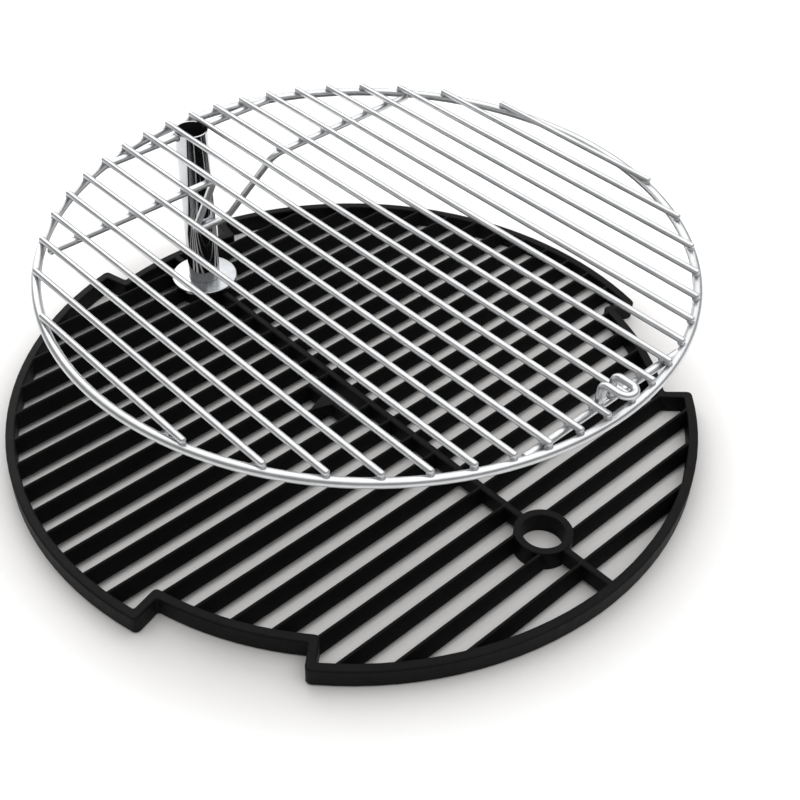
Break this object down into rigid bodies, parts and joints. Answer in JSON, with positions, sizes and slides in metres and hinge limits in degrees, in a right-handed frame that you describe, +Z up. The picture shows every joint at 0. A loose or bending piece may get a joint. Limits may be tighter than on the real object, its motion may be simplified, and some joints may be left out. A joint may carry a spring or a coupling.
{
  "type": "round cooking grate with swing-away warming rack",
  "caption": "Round cast-iron cooking grate with a round chromed wire warming rack that swings on a post standing in a boss of the grate.",
  "frame": {"origin": "centre of the bounding box at the height of the grate's underside, which is the middle of the round grate", "axes": "+Z up out of the cooking face; +X along the spine of the grate, from the post towards the rack's finger loop; +Y to the left when looking along +X"},
  "size_m": [0.4732, 0.48, 0.1623],
  "materials": {
    "cast_iron": "seasoned, slightly rough casting",
    "chrome": "bright plating"
  },
  "bodies": {
    "grate": {"cast_grate": "cast_iron"},
    "washer": {"flange_washer": "chrome"},
    "rack": {"finger_loop": "chrome", "front_crossbar": "chrome", "hanger_wire": "chrome", "post_tube": "chrome", "rack_ring": "chrome", "rear_bar_left": "chrome", "rear_bar_right": "chrome", "rod_01": "chrome", "rod_02": "chrome", "rod_03": "chrome", "rod_04": "chrome", "rod_05": "chrome", "rod_06": "chrome", "rod_07": "chrome", "rod_08": "chrome", "rod_09": "chrome", "rod_10": "chrome", "rod_11": "chrome", "rod_12": "chrome", "rod_13": "chrome", "rod_14": "chrome", "rod_15": "chrome", "rod_16": "chrome", "rod_17": "chrome", "rod_18": "chrome", "rod_19": "chrome", "rod_20": "chrome"}
  },
  "joints": [
    {"name": "lift", "type": "slide", "parent": "grate", "child": "washer", "axis": [0, 0, 1], "range_m": [0, 0.08]},
    {"name": "swing", "type": "hinge", "parent": "washer", "child": "rack", "pos_m": [-0.18065, 0, 0.08], "axis": [0, 0, 1], "continuous": true}
  ]
}
